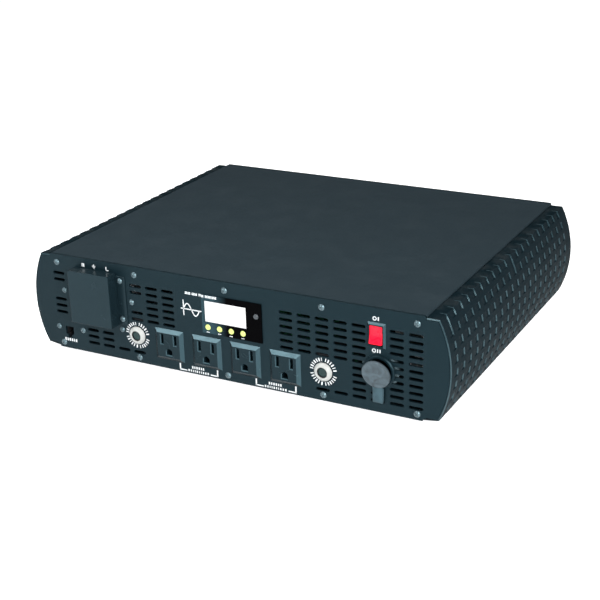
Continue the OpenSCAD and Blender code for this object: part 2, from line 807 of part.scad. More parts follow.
base_tray();
top_cover();
side_cover_left();
side_cover_right();
front_panel();
rear_panel();
feet();
panel_screws();
small_screws();
terminal_cover();
ac_terminal_block();
terminal_clamps();
remote_jack();
jack_contacts();
outlet_1();
outlet_2();
outlet_3();
outlet_4();
outlet_contacts();
breaker_left();
breaker_right();
breaker_nut_left();
breaker_nut_right();
breaker_button_left();
breaker_button_right();
switch_housing();
switch_rocker();
socket_shell();
socket_clamp();
socket_contact();
socket_cap();
cap_strap();
display_window();
lcd_module();
status_lamps();
display_button();
display_board();
main_board();
board_standoffs();
transformer_cores();
transformer_windings();
input_capacitors();
bus_capacitors();
output_choke();
heatsink_left();
heatsink_right();
power_transistors();
control_board();
fuse_bank();
bus_bars();
fan_frame_left();
fan_frame_right();
fan_rotor_left();
fan_rotor_right();
fan_screws();
terminal_positive();
terminal_negative();
terminal_studs();
ground_stud();
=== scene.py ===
import json
import math

import bpy
import bmesh
from mathutils import Euler, Matrix, Vector


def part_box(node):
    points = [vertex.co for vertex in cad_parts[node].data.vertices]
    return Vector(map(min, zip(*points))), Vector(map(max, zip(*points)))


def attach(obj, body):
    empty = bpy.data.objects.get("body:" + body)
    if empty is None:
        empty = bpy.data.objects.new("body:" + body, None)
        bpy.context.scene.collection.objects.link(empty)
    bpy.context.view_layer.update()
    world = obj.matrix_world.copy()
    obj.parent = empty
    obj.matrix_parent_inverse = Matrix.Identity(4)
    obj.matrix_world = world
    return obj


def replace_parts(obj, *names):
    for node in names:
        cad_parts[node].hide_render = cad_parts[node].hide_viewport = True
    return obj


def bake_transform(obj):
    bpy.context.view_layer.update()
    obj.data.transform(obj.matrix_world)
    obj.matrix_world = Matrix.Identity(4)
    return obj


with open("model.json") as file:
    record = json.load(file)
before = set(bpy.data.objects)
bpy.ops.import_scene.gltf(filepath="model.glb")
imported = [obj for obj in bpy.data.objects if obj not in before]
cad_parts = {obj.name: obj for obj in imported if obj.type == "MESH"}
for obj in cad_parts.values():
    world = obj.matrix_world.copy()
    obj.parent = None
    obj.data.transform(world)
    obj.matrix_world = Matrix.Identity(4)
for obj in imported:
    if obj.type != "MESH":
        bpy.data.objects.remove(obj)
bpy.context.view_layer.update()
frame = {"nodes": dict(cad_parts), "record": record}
record = frame["record"]
nodes = frame["nodes"]
mm = 0.001

print("stage: frame loaded,", len(nodes), "nodes")

# Planes that everything is placed from
topLow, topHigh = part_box("top_cover")
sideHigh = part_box("side_cover_right")[1]
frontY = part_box("front_panel")[0].y
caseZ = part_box("base_tray")[0].z


def centreOf(node):
    low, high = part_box(node)
    return (low + high) / 2


def onFront(x, z, out=0.0):
    return Vector((x, frontY - out, z))


def makePiece(name, verts, faces, body, slot, smoothAngle=None, bevel=None, segments=3, material=None):
    mesh = bpy.data.meshes.new(name)
    mesh.from_pydata([tuple(v) for v in verts], [], faces)
    mesh.validate()
    bm = bmesh.new()
    bm.from_mesh(mesh)
    bmesh.ops.recalc_face_normals(bm, faces=bm.faces)
    bm.to_mesh(mesh)
    bm.free()
    piece = bpy.data.objects.new(name, mesh)
    bpy.context.scene.collection.objects.link(piece)
    if bevel:
        cut = piece.modifiers.new("edge", "BEVEL")
        cut.width = bevel
        cut.segments = segments
        cut.limit_method = "ANGLE"
        cut.angle_limit = math.radians(35)
        cut.harden_normals = smoothAngle is not None
    if smoothAngle is not None:
        for poly in mesh.polygons:
            poly.use_smooth = True
        mesh.set_sharp_from_angle(angle=math.radians(smoothAngle))
    mesh.materials.append(material or materials[slot])
    if body:
        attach(piece, body)
    return piece


# Closed prism from a flat outline of (x, z) points, between two distances out of the front panel
def addPrism(verts, faces, outline, outLow, outHigh):
    start = len(verts)
    count = len(outline)
    for out in (outLow, outHigh):
        verts.extend(onFront(x, z, out) for x, z in outline)
    faces.append(list(range(start, start + count)))
    faces.append(list(range(start + 2 * count - 1, start + count - 1, -1)))
    for i in range(count):
        j = (i + 1) % count
        faces.append([start + i, start + count + i, start + count + j, start + j])


def circlePoints(x, z, radius, count, first=0.0, last=360.0):
    step = (last - first) / count
    closed = 0 if last - first >= 360 else 1
    return [(x + radius * math.cos(math.radians(first + i * step)),
             z + radius * math.sin(math.radians(first + i * step))) for i in range(count + closed)]


def rectPoints(x, z, width, height):
    return [(x - width / 2, z - height / 2), (x + width / 2, z - height / 2),
            (x + width / 2, z + height / 2), (x - width / 2, z + height / 2)]


# Outline of a stroke of even width along a line of points
def strokeOutline(points, width):
    left, right = [], []
    for i, here in enumerate(points):
        before = points[max(i - 1, 0)]
        after = points[min(i + 1, len(points) - 1)]
        dx, dz = after[0] - before[0], after[1] - before[1]
        size = math.hypot(dx, dz)
        nx, nz = -dz / size * width / 2, dx / size * width / 2
        left.append((here[0] + nx, here[1] + nz))
        right.append((here[0] - nx, here[1] - nz))
    return right + left[::-1]


# Turned piece: profile of (radius, out) about an axis that stands out of the front panel
def turned(name, x, z, profile, body, slot, count=64, smoothAngle=35, move=None):
    verts, faces, rings = [], [], []
    for radius, out in profile:
        if radius == 0:
            rings.append([len(verts)])
            verts.append(onFront(x, z, out))
            continue
        rings.append(list(range(len(verts), len(verts) + count)))
        verts.extend(onFront(px, pz, out) for px, pz in circlePoints(x, z, radius, count))
    for a, b in zip(rings, rings[1:]):
        for i in range(count):
            j = (i + 1) % count
            quad = [a[i % len(a)], a[j % len(a)], b[j % len(b)], b[i % len(b)]]
            faces.append(list(dict.fromkeys(quad)))
    if move:
        verts = [move(v) for v in verts]
    return makePiece(name, verts, faces, body, slot, smoothAngle)


def arcProfile(centreR, centreOut, radius, first, last, steps=6):
    return [(centreR + radius * math.cos(math.radians(first + (last - first) * i / steps)),
             centreOut + radius * math.sin(math.radians(first + (last - first) * i / steps)))
            for i in range(steps + 1)]


def newGroup(name, inputs, outputs):
    tree = bpy.data.node_groups.new(name, "ShaderNodeTree")
    for label, kind, value in inputs:
        socket = tree.interface.new_socket(label, in_out="INPUT", socket_type=kind)
        socket.default_value = value
    for label, kind in outputs:
        tree.interface.new_socket(label, in_out="OUTPUT", socket_type=kind)
    return tree, tree.nodes.new("NodeGroupInput"), tree.nodes.new("NodeGroupOutput")


def addNode(tree, kind, values=None, **settings):
    node = tree.nodes.new(kind)
    for key, value in settings.items():
        setattr(node, key, value)
    for key, value in (values or {}).items():
        node.inputs[key].default_value = value
    return node


def mathNode(tree, operation, a, b):
    node = addNode(tree, "ShaderNodeMath", operation=operation)
    for socket, value in zip(node.inputs, (a, b)):
        if isinstance(value, (int, float)):
            socket.default_value = value
        else:
            tree.links.new(value, socket)
    return node.outputs[0]


def objectCoords(tree):
    return addNode(tree, "ShaderNodeTexCoord").outputs["Object"]


def rangeNode(tree, source, low, high, outLow, outHigh):
    node = addNode(tree, "ShaderNodeMapRange")
    tree.links.new(source, node.inputs["Value"])
    for key, value in (("From Min", low), ("From Max", high), ("To Min", outLow), ("To Max", outHigh)):
        if isinstance(value, (int, float)):
            node.inputs[key].default_value = value
        else:
            tree.links.new(value, node.inputs[key])
    return node.outputs["Result"]


def mixColor(tree, fac, a, b, blend="MIX"):
    node = addNode(tree, "ShaderNodeMix", data_type="RGBA", blend_type=blend)
    for socket, value in ((node.inputs[0], fac), (node.inputs[6], a), (node.inputs[7], b)):
        if isinstance(value, (int, float, tuple)):
            socket.default_value = value
        else:
            tree.links.new(value, socket)
    return node.outputs[2]


# Powder coat: fine pebbled surface, faint mottling and a little settled dust on upward faces; where raised,
# this lightening of upward faces also stands for painted top light
def buildPowderCoat():
    tree, into, out = newGroup("powderCoat", [
        ("Color", "NodeSocketColor", (0.03, 0.05, 0.06, 1)), ("Grain Size", "NodeSocketFloat", 0.6),
        ("Mottle", "NodeSocketFloat", 0.1), ("Dust And Top Light", "NodeSocketFloat", 0.05),
        ("Roughness", "NodeSocketFloat", 0.42), ("Bump", "NodeSocketFloat", 0.2)],
        [("Color", "NodeSocketColor"), ("Roughness", "NodeSocketFloat"), ("Normal", "NodeSocketVector")])
    coords = objectCoords(tree)
    scale = mathNode(tree, "DIVIDE", 1000.0, into.outputs["Grain Size"])
    grain = addNode(tree, "ShaderNodeTexNoise", {"Detail": 3.0, "Roughness": 0.6})
    tree.links.new(coords, grain.inputs["Vector"])
    tree.links.new(scale, grain.inputs["Scale"])
    broad = addNode(tree, "ShaderNodeTexNoise", {"Scale": 18.0, "Detail": 4.0, "Roughness": 0.55})
    tree.links.new(coords, broad.inputs["Vector"])
    smudge = addNode(tree, "ShaderNodeTexNoise", {"Scale": 45.0, "Detail": 6.0, "Roughness": 0.7})
    tree.links.new(coords, smudge.inputs["Vector"])
    upward = addNode(tree, "ShaderNodeSeparateXYZ")
    tree.links.new(addNode(tree, "ShaderNodeNewGeometry").outputs["Normal"], upward.inputs[0])
    up = rangeNode(tree, upward.outputs["Z"], 0.3, 1.0, 0.0, 1.0)
    dustPatches = rangeNode(tree, smudge.outputs["Fac"], 0.45, 0.75, 0.0, 1.0)
    # Upward faces lightened in patches: settled dust, and where the amount is raised also a painted top light
    dustAndTopLight = mathNode(tree, "MULTIPLY", mathNode(tree, "MULTIPLY", up, dustPatches), into.outputs["Dust And Top Light"])
    patches = rangeNode(tree, broad.outputs["Fac"], 0.3, 0.7, -1.0, 1.0)
    tint = mathNode(tree, "MULTIPLY", patches, into.outputs["Mottle"])
    bright = mathNode(tree, "ADD", 1.0, tint)
    fleck = rangeNode(tree, grain.outputs["Fac"], 0.35, 0.65, 0.9, 1.1)
    shade = mathNode(tree, "MULTIPLY", bright, fleck)
    hue = addNode(tree, "ShaderNodeHueSaturation")
    tree.links.new(into.outputs["Color"], hue.inputs["Color"])
    tree.links.new(shade, hue.inputs["Value"])
    colour = mixColor(tree, dustAndTopLight, hue.outputs["Color"], (0.22, 0.23, 0.23, 1))
    rough = mathNode(tree, "ADD", into.outputs["Roughness"],
                     rangeNode(tree, smudge.outputs["Fac"], 0.3, 0.7, -0.05, 0.06))
    bump = addNode(tree, "ShaderNodeBump", {"Distance": 0.00006})
    tree.links.new(into.outputs["Bump"], bump.inputs["Strength"])
    tree.links.new(grain.outputs["Fac"], bump.inputs["Height"])
    tree.links.new(colour, out.inputs["Color"])
    tree.links.new(rough, out.inputs["Roughness"])
    tree.links.new(bump.outputs["Normal"], out.inputs["Normal"])
    return tree


# Moulded plastic or rubber: spark-eroded texture, faint flow marks
def buildMoulded():
    tree, into, out = newGroup("mouldedSkin", [
        ("Color", "NodeSocketColor", (0.02, 0.02, 0.02, 1)), ("Texture Size", "NodeSocketFloat", 0.35),
        ("Variation", "NodeSocketFloat", 0.08), ("Roughness", "NodeSocketFloat", 0.4),
        ("Bump", "NodeSocketFloat", 0.15)],
        [("Color", "NodeSocketColor"), ("Roughness", "NodeSocketFloat"), ("Normal", "NodeSocketVector")])
    coords = objectCoords(tree)
    fine = addNode(tree, "ShaderNodeTexNoise", {"Detail": 4.0, "Roughness": 0.65})
    tree.links.new(coords, fine.inputs["Vector"])
    tree.links.new(mathNode(tree, "DIVIDE", 1000.0, into.outputs["Texture Size"]), fine.inputs["Scale"])
    flow = addNode(tree, "ShaderNodeTexNoise", {"Scale": 120.0, "Detail": 3.0, "Distortion": 1.2})
    tree.links.new(coords, flow.inputs["Vector"])
    patches = rangeNode(tree, flow.outputs["Fac"], 0.3, 0.7, -1.0, 1.0)
    change = mathNode(tree, "MULTIPLY", patches, into.outputs["Variation"])
    hue = addNode(tree, "ShaderNodeHueSaturation")
    tree.links.new(into.outputs["Color"], hue.inputs["Color"])
    tree.links.new(mathNode(tree, "ADD", 1.0, change), hue.inputs["Value"])
    rough = mathNode(tree, "ADD", into.outputs["Roughness"],
                     rangeNode(tree, flow.outputs["Fac"], 0.3, 0.7, -0.05, 0.08))
    bump = addNode(tree, "ShaderNodeBump", {"Distance": 0.00004})
    tree.links.new(into.outputs["Bump"], bump.inputs["Strength"])
    tree.links.new(fine.outputs["Fac"], bump.inputs["Height"])
    tree.links.new(hue.outputs["Color"], out.inputs["Color"])
    tree.links.new(rough, out.inputs["Roughness"])
    tree.links.new(bump.outputs["Normal"], out.inputs["Normal"])
    return tree


# Plain metal: fine drawn lines, handling marks and slight tarnish
def buildMetalSkin():
    tree, into, out = newGroup("metalSkin", [
        ("Color", "NodeSocketColor", (0.7, 0.7, 0.7, 1)), ("Tarnish", "NodeSocketColor", (0.3, 0.3, 0.3, 1)),
        ("Amount", "NodeSocketFloat", 0.3), ("Roughness", "NodeSocketFloat", 0.3),
        ("Line Scale", "NodeSocketFloat", 900.0), ("Bump", "NodeSocketFloat", 0.1)],
        [("Color", "NodeSocketColor"), ("Roughness", "NodeSocketFloat"), ("Normal", "NodeSocketVector")])
    coords = objectCoords(tree)
    stretch = addNode(tree, "ShaderNodeMapping", {"Scale": (1.0, 0.08, 1.0)})
    tree.links.new(coords, stretch.inputs["Vector"])
    lines = addNode(tree, "ShaderNodeTexNoise", {"Detail": 3.0})
    tree.links.new(stretch.outputs["Vector"], lines.inputs["Vector"])
    tree.links.new(into.outputs["Line Scale"], lines.inputs["Scale"])
    marks = addNode(tree, "ShaderNodeTexNoise", {"Scale": 220.0, "Detail": 5.0, "Roughness": 0.7})
    tree.links.new(coords, marks.inputs["Vector"])
    spots = rangeNode(tree, marks.outputs["Fac"], 0.42, 0.72, 0.0, 1.0)
    mask = mathNode(tree, "MULTIPLY", spots, into.outputs["Amount"])
    colour = mixColor(tree, mask, into.outputs["Color"], into.outputs["Tarnish"])
    wear = mathNode(tree, "MULTIPLY", marks.outputs["Fac"], 0.16)
    rough = mathNode(tree, "ADD", into.outputs["Roughness"], wear)
    bump = addNode(tree, "ShaderNodeBump", {"Distance": 0.00003})
    tree.links.new(into.outputs["Bump"], bump.inputs["Strength"])
    tree.links.new(lines.outputs["Fac"], bump.inputs["Height"])
    tree.links.new(colour, out.inputs["Color"])
    tree.links.new(rough, out.inputs["Roughness"])
    tree.links.new(bump.outputs["Normal"], out.inputs["Normal"])
    return tree


# Painted highlight: lighter colour on the sloping faces of a front moulding that face up or to the right,
# where the lights fall
def buildPaintedBevelHighlight():
    tree, start, end = newGroup("paintedBevelHighlight", [
        ("Color", "NodeSocketColor", (0.02, 0.02, 0.02, 1)),
        ("Highlight Color", "NodeSocketColor", (0.1, 0.1, 0.1, 1))],
        [("Color", "NodeSocketColor")])
    geometry = addNode(tree, "ShaderNodeNewGeometry")
    split = addNode(tree, "ShaderNodeSeparateXYZ")
    tree.links.new(geometry.outputs["True Normal"], split.inputs[0])
    facing = mathNode(tree, "ABSOLUTE", split.outputs["Y"], 0)
    offFlat = rangeNode(tree, facing, 0.90, 0.84, 0, 1)
    offWall = rangeNode(tree, facing, 0.3, 0.5, 0, 1)
    slope = mathNode(tree, "MULTIPLY", offFlat, offWall)
    # Only faces turned up or to the right get the painted highlight
    litFacing = rangeNode(tree, mathNode(tree, "ADD", split.outputs["X"], split.outputs["Z"]), 0.2, 0.4, 0, 1)
    tree.links.new(mixColor(tree, mathNode(tree, "MULTIPLY", slope, litFacing), start.outputs["Color"],
                            start.outputs["Highlight Color"]), end.inputs["Color"])
    return tree


groups = {"powder": buildPowderCoat(), "moulded": buildMoulded(),
          "metal": buildMetalSkin(), "bevelHighlight": buildPaintedBevelHighlight()}
print("stage: shader groups built")


def rgba(colour):
    return (colour[0], colour[1], colour[2], 1.0)


# A Principled shader fed by one of the shared skins
def skinMaterial(name, group, skin, shader=None, highlightColor=None):
    material = bpy.data.materials.new(name)
    material.use_nodes = True
    tree = material.node_tree
    principled = tree.nodes["Principled BSDF"]
    node = tree.nodes.new("ShaderNodeGroup")
    node.node_tree = groups[group]
    for key, value in skin.items():
        node.inputs[key].default_value = value
    for key in ("Roughness", "Normal"):
        tree.links.new(node.outputs[key], principled.inputs[key])
    # Optional painted highlight: lighter colour on sloping faces that face up or to the right
    if highlightColor:
        bevelHighlight = tree.nodes.new("ShaderNodeGroup")
        bevelHighlight.node_tree = groups["bevelHighlight"]
        bevelHighlight.inputs["Highlight Color"].default_value = highlightColor
        tree.links.new(node.outputs["Color"], bevelHighlight.inputs["Color"])
        node = bevelHighlight
    tree.links.new(node.outputs["Color"], principled.inputs["Base Color"])
    for key, value in (shader or {}).items():
        principled.inputs[key].default_value = value
    return material


casePaint = {"Color": (0.0024, 0.0066, 0.0090, 1), "Grain Size": 0.55, "Mottle": 0.06, "Dust And Top Light": 0.02,
             "Roughness": 0.42, "Bump": 0.22}
topPaint = {"Color": (0.0135, 0.0215, 0.0265, 1), "Grain Size": 0.6, "Mottle": 0.03, "Dust And Top Light": 0.02,
            "Roughness": 0.46, "Bump": 0.22}
sidePaint = {"Color": (0.0034, 0.0084, 0.0112, 1), "Grain Size": 0.5, "Mottle": 0.07, "Dust And Top Light": 0.08,
             "Roughness": 0.5, "Bump": 0.18}
# Lip walls and front chamfer of the side covers: lighter than the side paint as a painted highlight along
# each lip, and glossier
lipHighlightPaint = {"Color": (0.012, 0.024, 0.029, 1), "Grain Size": 0.5, "Mottle": 0.05, "Dust And Top Light": 0.0,
             "Roughness": 0.22, "Bump": 0.06}
outletSkin = {"Color": (0.0024, 0.0066, 0.0090, 1), "Texture Size": 0.4, "Variation": 0.05,
              "Roughness": 0.2, "Bump": 0.05}
capSkin = {"Color": (0.036, 0.051, 0.060, 1), "Texture Size": 0.55, "Variation": 0.42,
           "Roughness": 0.6, "Bump": 0.5}
# Terminal cover: more lightening on its upward faces, partly dust and partly a painted top light
coverPaint = {**casePaint, "Color": (0.0045, 0.0100, 0.0130, 1), "Roughness": 0.24, "Dust And Top Light": 0.1}
paintSheen = {"Specular IOR Level": 0.14, "Specular Tint": (0.50, 0.86, 1.0, 1)}
mattSheen = {"Specular IOR Level": 0.01}
edgeSheen = {"Specular IOR Level": 0.4, "Specular Tint": (0.60, 0.90, 1.0, 1)}
outletSheen = {"Specular IOR Level": 0.16, "Specular Tint": (0.55, 0.88, 1.0, 1)}
dimSheen = {"Specular IOR Level": 0.2}


def plastic(colour, rough, size=0.4, variation=0.08, bump=0.12):
    return {"Color": rgba(colour), "Texture Size": size, "Variation": variation,
            "Roughness": rough, "Bump": bump}


def metal(colour, tarnish, rough, amount=0.3, bump=0.1):
    return {"Color": rgba(colour), "Tarnish": rgba(tarnish),
            "Roughness": rough, "Amount": amount, "Bump": bump}


screwSheen = {**edgeSheen, "Specular IOR Level": 0.6}
metalShader = {"Metallic": 1.0}
materials = {
    "case_paint": skinMaterial("casePaint", "powder", casePaint, paintSheen),
    "top_paint": skinMaterial("topPaint", "powder", topPaint, paintSheen),
    "side_paint": skinMaterial("sidePaint", "powder", sidePaint, mattSheen),
    "foot_rubber": skinMaterial("footRubber", "moulded", plastic((0.018, 0.018, 0.019), 0.75, 0.6, 0.2, 0.4)),
    "screw_steel": skinMaterial("zincScrew", "moulded",
                                plastic((0.045, 0.066, 0.075), 0.24, 0.4, 0.08, 0.05), screwSheen),
    "black_plastic": skinMaterial("blackPlastic", "moulded", plastic((0.008, 0.008, 0.009), 0.5), dimSheen),
    "contact_brass": skinMaterial("contactBrass", "metal",
                                  metal((0.72, 0.52, 0.24), (0.28, 0.17, 0.07), 0.3), metalShader),
    # Outlet bezels get a painted highlight: a lighter colour on their top and right bevels
    "outlet_plastic": skinMaterial("outletPlastic", "moulded",
                                   outletSkin, outletSheen, (0.020, 0.038, 0.046, 1)),
    "white_plastic": skinMaterial("nutPlastic", "moulded",
                                  plastic((0.27, 0.28, 0.27), 0.22, 0.5, 0.03, 0.05), dimSheen),
    "button_plastic": skinMaterial("resetButton", "moulded",
                                   plastic((0.006, 0.020, 0.020), 0.22, 0.5, 0.1, 0.05), dimSheen),
    "red_plastic": skinMaterial("rockerRed", "moulded",
                                plastic((0.80, 0.003, 0.018), 0.28, 0.6, 0.02, 0.06), dimSheen),
    "socket_metal": skinMaterial("socketMetal", "powder", {**casePaint, "Roughness": 0.34}, paintSheen),
    "cap_rubber": skinMaterial("capRubber", "moulded", capSkin, dimSheen),
    "key_plastic": skinMaterial("displayKey", "moulded",
                                plastic((0.036, 0.042, 0.047), 0.22, 0.5, 0.05, 0.04), dimSheen),
    "circuit_board": skinMaterial("circuitBoard", "moulded",
                                  plastic((0.014, 0.10, 0.045), 0.35, 1.2, 0.3, 0.3)),
    "ferrite": skinMaterial("ferrite", "moulded", plastic((0.045, 0.045, 0.05), 0.6, 0.8, 0.25, 0.5)),
    "winding_tape": skinMaterial("windingTape", "moulded", plastic((0.72, 0.46, 0.06), 0.4, 1.5, 0.2, 0.2)),
    "capacitor_blue": skinMaterial("capacitorBlue", "moulded", plastic((0.02, 0.03, 0.14), 0.28)),
    "capacitor_black": skinMaterial("capacitorBlack", "moulded", plastic((0.015, 0.015, 0.02), 0.28)),
    "copper_wire": skinMaterial("copperWire", "metal",
                                metal((0.66, 0.27, 0.10), (0.25, 0.08, 0.03), 0.3), metalShader),
    "sink_aluminium": skinMaterial("sinkAluminium", "metal",
                                   metal((0.70, 0.71, 0.73), (0.4, 0.41, 0.42), 0.34), metalShader),
    "fuse_plastic": skinMaterial("fusePlastic", "moulded", plastic((0.85, 0.58, 0.05), 0.25)),
    "copper_bar": skinMaterial("copperBar", "metal",
                               metal((0.72, 0.34, 0.16), (0.3, 0.12, 0.06), 0.3), metalShader),
    "fan_plastic": skinMaterial("fanPlastic", "moulded", plastic((0.012, 0.012, 0.013), 0.4, 0.5, 0.1, 0.2)),
    "terminal_red": skinMaterial("terminalRed", "moulded", plastic((0.52, 0.012, 0.012), 0.3)),
    "terminal_black": skinMaterial("terminalBlack", "moulded", plastic((0.012, 0.012, 0.014), 0.3)),
    "stud_brass": skinMaterial("studBrass", "metal",
                               metal((0.74, 0.56, 0.26), (0.3, 0.2, 0.08), 0.24), metalShader),
}


# Smoked window whose colour fades from the case colour at the left to black at the right
def buildWindowMaterial():
    look = {"left": (0.016, 0.033, 0.041, 1), "right": (0.0006, 0.0006, 0.0008, 1),
            "fadeFrom": -0.012, "fadeTo": 0.002}
    material = bpy.data.materials.new("smokedWindow")
    material.use_nodes = True
    tree = material.node_tree
    principled = tree.nodes["Principled BSDF"]
    split = addNode(tree, "ShaderNodeSeparateXYZ")
    tree.links.new(objectCoords(tree), split.inputs[0])
    speck = addNode(tree, "ShaderNodeTexNoise", {"Scale": 700.0, "Detail": 3.0})
    tree.links.new(objectCoords(tree), speck.inputs["Vector"])
    fade = rangeNode(tree, split.outputs["X"], look["fadeFrom"], look["fadeTo"], 0.0, 1.0)
    tree.links.new(mixColor(tree, fade, look["left"], look["right"]), principled.inputs["Base Color"])
    tree.links.new(rangeNode(tree, speck.outputs["Fac"], 0.3, 0.7, 0.10, 0.2), principled.inputs["Roughness"])
    principled.inputs["Specular IOR Level"].default_value = 0.01
    return material


# Lit face with an even glow, mottled slightly darker by noise
def litMaterial(name, colour, strength, grain):
    material = bpy.data.materials.new(name)
    material.use_nodes = True
    tree = material.node_tree
    principled = tree.nodes["Principled BSDF"]
    noise = addNode(tree, "ShaderNodeTexNoise", {"Scale": grain, "Detail": 2.0})
    tree.links.new(objectCoords(tree), noise.inputs["Vector"])
    shade = rangeNode(tree, noise.outputs["Fac"], 0.3, 0.7, 0.0, 0.12)
    glow = mixColor(tree, shade, rgba(colour), rgba([c * 0.8 for c in colour]))
    principled.inputs["Base Color"].default_value = rgba([c * 0.12 for c in colour])
    tree.links.new(glow, principled.inputs["Emission Color"])
    principled.inputs["Emission Strength"].default_value = strength
    principled.inputs["Roughness"].default_value = 0.25
    return material


materials["window_plastic"] = buildWindowMaterial()
materials["lcd_screen"] = litMaterial("lcdScreen", (0.97, 0.98, 0.99), 0.98, 300.0)
materials["lamp_lens"] = litMaterial("lampLens", (0.78, 0.95, 0.26), 0.95, 500.0)
coverMaterial = skinMaterial("coverPaint", "powder", coverPaint, outletSheen)
lipHighlightMaterial = skinMaterial("lipHighlightPaint", "powder", lipHighlightPaint, edgeSheen)
strapSkin = {**capSkin, "Color": (0.026, 0.046, 0.056, 1), "Variation": 0.15}
strapMaterial = skinMaterial("strapRubber", "moulded", strapSkin, outletSheen)
inkMaterial = skinMaterial("whiteInk", "moulded", plastic((0.42, 0.44, 0.45), 0.5, 0.3, 0.04, 0.1), mattSheen)

for part in record["subparts"]:
    mesh = nodes[part["node"]].data
    mesh.materials.clear()
    mesh.materials.append(materials[part["material_slot"]])
print("stage: materials assigned")


sideCover = {
    "columns": 20, "rows": 8,          # scales along the depth and down the flank
    "firstLip": 14.15 * mm,            # first row of lips, from the front end
    "pitch": 14.15 * mm,
    "pocketLength": 9.0 * mm,          # how far each scale slopes in before its lip
    "pocketDepth": 0.85 * mm, "shoulderDepth": 0.2 * mm,
    "lipWall": 0.85 * mm, "shoulderWall": 0.5 * mm, "sideWall": 0.6 * mm,
    "lipLength": 6.2 * mm,             # down the flank
    "shoulderLip": 5.2 * mm,           # the first row also folds over the shoulder
    "longColumns": (1, 11),            # first two rows run together here
    "wall": 2.4 * mm, "rimWall": 1.2 * mm, "rimDepth": 2.05 * mm,
    "chamfer": 0.95 * mm,
}


def sideSection():
    shoulderZ = topLow.z
    lowZ = caseZ + 2 * mm
    edgeX = 185 * mm
    innerX = 170.6 * mm
    halfChord = (shoulderZ - lowZ) / 2
    bulge = sideHigh.x - edgeX
    radius = (halfChord ** 2 + bulge ** 2) / (2 * bulge)
    centre = (sideHigh.x - radius, lowZ + halfChord)
    half = math.asin(halfChord / radius)
    return {"shoulderZ": shoulderZ, "lowZ": lowZ, "edgeX": edgeX, "innerX": innerX, "radius": radius,
            "centre": centre, "half": half, "length": 2 * half * radius}


section = sideSection()


# Point and inward direction on the section: s is zero at the top corner, negative on the shoulder
def sectionPoint(s):
    cx, cz = section["centre"]
    topNormal = Vector((-math.cos(section["half"]), -math.sin(section["half"])))
    mitreX = -(1 + topNormal.y) / topNormal.x
    mitre = Vector((-abs(mitreX), -1.0))
    blendSpan = 3 * mm
    if s <= 0:
        point = Vector((section["edgeX"] + s, section["shoulderZ"]))
        share = max(0.0, 1 + s / blendSpan)
        return point, mitre * share + Vector((0, -1)) * (1 - share)
    if s <= section["length"]:
        angle = section["half"] - s / section["radius"]
        point = Vector((cx + section["radius"] * math.cos(angle), cz + section["radius"] * math.sin(angle)))
        normal = Vector((-math.cos(angle), -math.sin(angle)))
        share = max(0.0, 1 - s / blendSpan)
        lowShare = max(0.0, 1 - (section["length"] - s) / blendSpan)
        low = Vector((-0.92, 1.0))
        return point, (mitre * share + normal * (1 - share)) * (1 - lowShare) + low * lowShare
    over = s - section["length"]
    slope = Vector((-(section["edgeX"] - 172.3 * mm), -1.6 * mm)).normalized()
    point = Vector((section["edgeX"], section["lowZ"])) + slope * over
    return point, Vector((0.0, 1.0))


def breakpoints(values):
    ordered = sorted(values)
    kept = [ordered[0]]
    for value in ordered[1:]:
        if value - kept[-1] > 0.02 * mm:
            kept.append(value)
    return kept


def rowSpan(row, column):
    pitch = section["length"] / sideCover["rows"]
    start = row * pitch + (0.0 if row else -sideCover["shoulderLip"])
    end = row * pitch + sideCover["lipLength"]
    if column in sideCover["longColumns"]:
        if row == 0:
            end += pitch
        if row == 1:
            return None
    return start, end


# How deep the surface is pressed in, at a distance from the front end and along the section
def pressDepth(y, s):
    column = math.ceil((y - sideCover["firstLip"]) / sideCover["pitch"] - 1e-6) + 1
    if column < 1 or column > sideCover["columns"]:
        return 0.0
    lip = sideCover["firstLip"] + (column - 1) * sideCover["pitch"]
    share = min(1.0, max(0.0, (s + 1.5 * mm) / (3 * mm)))
    wall = sideCover["shoulderWall"] * (1 - share) + sideCover["lipWall"] * share
    depth = sideCover["shoulderDepth"] * (1 - share) + sideCover["pocketDepth"] * share
    along = (y - (lip - sideCover["pocketLength"])) / (sideCover["pocketLength"] - wall)
    ramp = min(along, (lip - y) / wall)
    if ramp <= 0:
        return 0.0
    row = min(sideCover["rows"] - 1, max(0, int((s + 0.2 * mm) / (section["length"] / sideCover["rows"]))))
    for near in (row, row - 1):
        span = rowSpan(near, column) if near >= 0 else None
        if span and span[0] <= s <= span[1]:
            edge = min(s - span[0], span[1] - s) / sideCover["sideWall"]
            return depth * min(1.0, ramp) * min(1.0, edge)
    return 0.0


